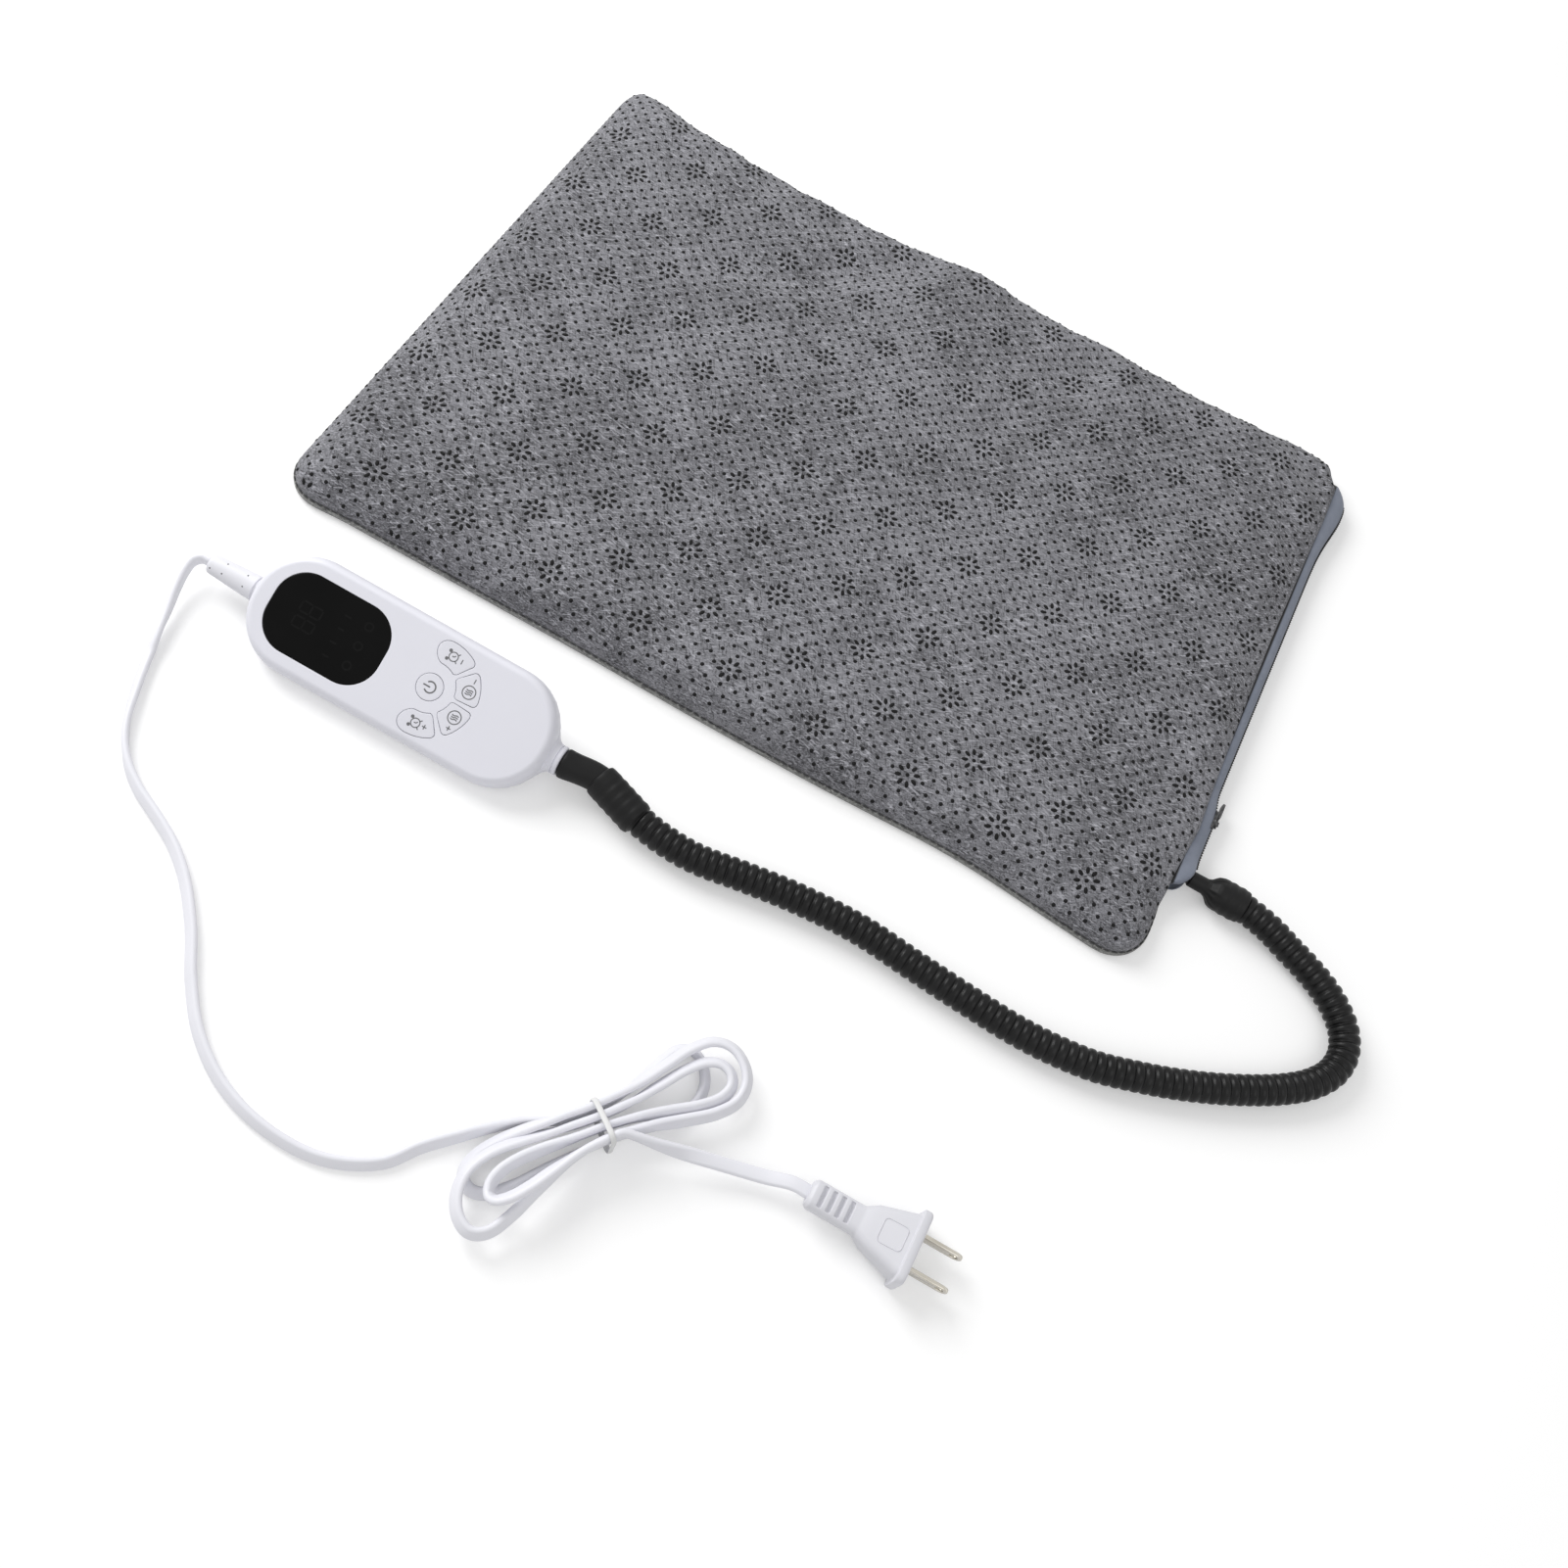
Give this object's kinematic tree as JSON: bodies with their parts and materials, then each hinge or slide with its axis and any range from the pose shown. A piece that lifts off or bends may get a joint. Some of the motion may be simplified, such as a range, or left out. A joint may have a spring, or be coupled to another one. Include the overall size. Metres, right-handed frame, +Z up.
{
  "type": "heating pad with controller",
  "caption": "Zipped felt heating pad lying flat, with a ribbed hose to a moulded hand controller with a display and keys, and a flat mains cord tied in a hank before its plug.",
  "frame": {"origin": "middle of the pad's underside, on the table", "axes": "+X along the pad to its zipped short side, +Y from the controller to the pad's back, +Z up from the table"},
  "size_m": [0.4978, 0.5182, 0.0279],
  "materials": {
    "felt_top": "matte grey felt with raised black dots and small flowers",
    "felt_bottom": "matte warm grey felt",
    "zip_tape": "woven blue grey tape",
    "zip_coil": "satin black nylon coil",
    "zip_metal": "satin black",
    "inner_bag": "smooth film",
    "wadding": "soft felt",
    "heating_wire": "satin",
    "black_plastic": "satin black",
    "blue_plastic": "satin blue",
    "fuse_ceramic": "smooth",
    "black_rubber": "satin black",
    "white_case": "fine satin white",
    "white_key": "satin white",
    "window_black": "polished black",
    "board_green": "lacquered green",
    "screw_steel": "zinc plated",
    "white_cord": "satin white",
    "nickel": "nickel plated"
  },
  "bodies": {
    "pad_and_controller": {"cover_top_panel": "felt_top", "cover_bottom_panel": "felt_bottom", "zip_tape_upper": "zip_tape", "zip_tape_lower": "zip_tape", "zip_coil_upper": "zip_coil", "zip_coil_lower": "zip_coil", "zip_end_stop": "zip_metal", "inner_bag_tray": "inner_bag", "inner_bag_lid": "inner_bag", "lower_felt": "wadding", "upper_felt": "wadding", "heating_wire": "heating_wire", "thermostat": "black_plastic", "thermal_fuse": "fuse_ceramic", "lead_gland": "black_rubber", "controller_top_shell": "white_case", "controller_bottom_shell": "white_case", "case_screw_1": "screw_steel", "case_screw_2": "screw_steel", "case_screw_3": "screw_steel", "case_screw_4": "screw_steel", "display_window": "window_black", "circuit_board": "board_green", "display_module": "black_plastic", "power_switch": "black_plastic", "heat_minus_switch": "black_plastic", "heat_plus_switch": "black_plastic", "timer_minus_switch": "black_plastic", "timer_plus_switch": "black_plastic", "relay": "blue_plastic", "capacitor": "black_plastic", "board_fuse": "fuse_ceramic", "hose_collar": "white_case", "mains_bush": "white_cord", "ribbed_hose": "black_rubber", "hose_boot": "black_rubber", "hose_sleeve_controller": "black_rubber", "hose_sleeve_pad": "black_rubber", "lead_cable": "black_rubber", "mains_cord_run": "white_cord", "mains_cord_hank": "white_cord", "mains_cord_tail": "white_cord", "cord_tie": "white_cord", "plug_body": "white_cord", "plug_blade_1": "nickel", "plug_blade_2": "nickel"},
    "power_key": {"power_key": "white_key"},
    "heat_minus_key": {"heat_minus_key": "white_key"},
    "heat_plus_key": {"heat_plus_key": "white_key"},
    "timer_minus_key": {"timer_minus_key": "white_key"},
    "timer_plus_key": {"timer_plus_key": "white_key"},
    "zip_slider": {"zip_slider": "zip_metal"},
    "zip_pull": {"zip_pull": "zip_metal"}
  },
  "joints": [
    {"name": "power_press", "type": "slide", "parent": "pad_and_controller", "child": "power_key", "axis": [0, 0.4226, -0.9063], "range_m": [0, 0.0004], "stiffness_N_per_m": 1500},
    {"name": "heat_minus_press", "type": "slide", "parent": "pad_and_controller", "child": "heat_minus_key", "axis": [0, 0.4226, -0.9063], "range_m": [0, 0.0004], "stiffness_N_per_m": 1500},
    {"name": "heat_plus_press", "type": "slide", "parent": "pad_and_controller", "child": "heat_plus_key", "axis": [0, 0.4226, -0.9063], "range_m": [0, 0.0004], "stiffness_N_per_m": 1500},
    {"name": "timer_minus_press", "type": "slide", "parent": "pad_and_controller", "child": "timer_minus_key", "axis": [0, 0.4226, -0.9063], "range_m": [0, 0.0004], "stiffness_N_per_m": 1500},
    {"name": "timer_plus_press", "type": "slide", "parent": "pad_and_controller", "child": "timer_plus_key", "axis": [0, 0.4226, -0.9063], "range_m": [0, 0.0004], "stiffness_N_per_m": 1500},
    {"name": "zip_run", "type": "slide", "parent": "pad_and_controller", "child": "zip_slider", "axis": [0, 1, 0], "range_m": [0, 0.165]},
    {"name": "pull_swing", "type": "hinge", "parent": "zip_slider", "child": "zip_pull", "pos_m": [0.2077, -0.071, 0.0062], "axis": [0, 0, -1], "range_deg": [0, 120]}
  ]
}
